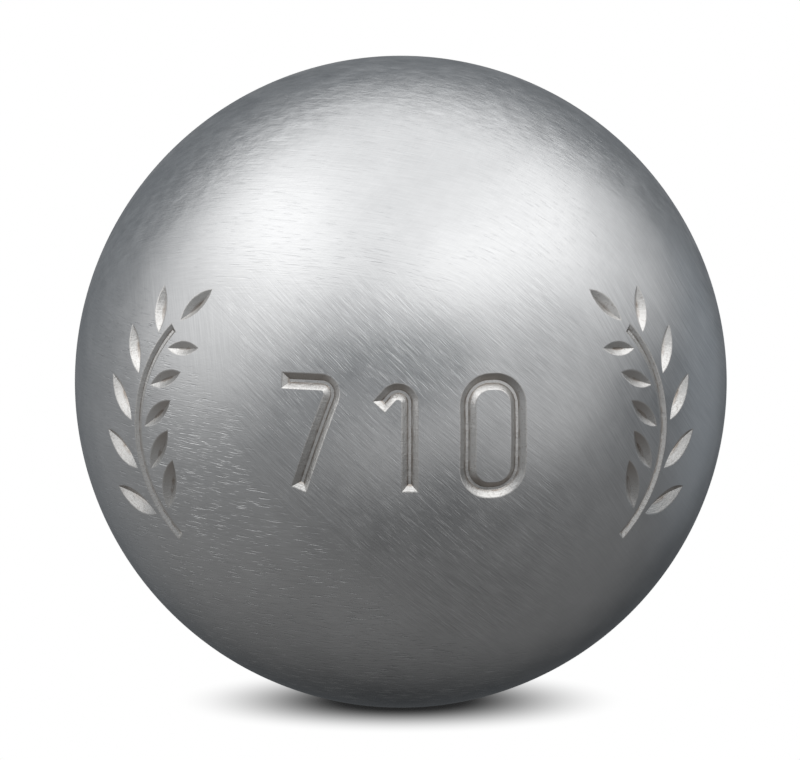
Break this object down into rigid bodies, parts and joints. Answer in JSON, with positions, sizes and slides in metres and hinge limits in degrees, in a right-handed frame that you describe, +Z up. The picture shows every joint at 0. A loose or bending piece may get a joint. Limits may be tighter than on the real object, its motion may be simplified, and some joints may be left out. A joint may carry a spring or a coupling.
{
  "type": "petanque boule",
  "caption": "Hollow steel petanque boule of welded half shells, turned to a true ball, with a brushed satin skin and an engraved weight number between leaf branches.",
  "frame": {"origin": "centre of the ball", "axes": "+Z up, -Y towards the engraved number, +X to the right of it; the weld lies in the XZ plane"},
  "size_m": [0.074, 0.074, 0.074],
  "materials": {
    "shell_steel": "satin",
    "weld_steel": "satin"
  },
  "bodies": {
    "root": {"front_half_shell": "shell_steel", "rear_half_shell": "shell_steel", "weld_bead": "weld_steel"}
  },
  "joints": []
}
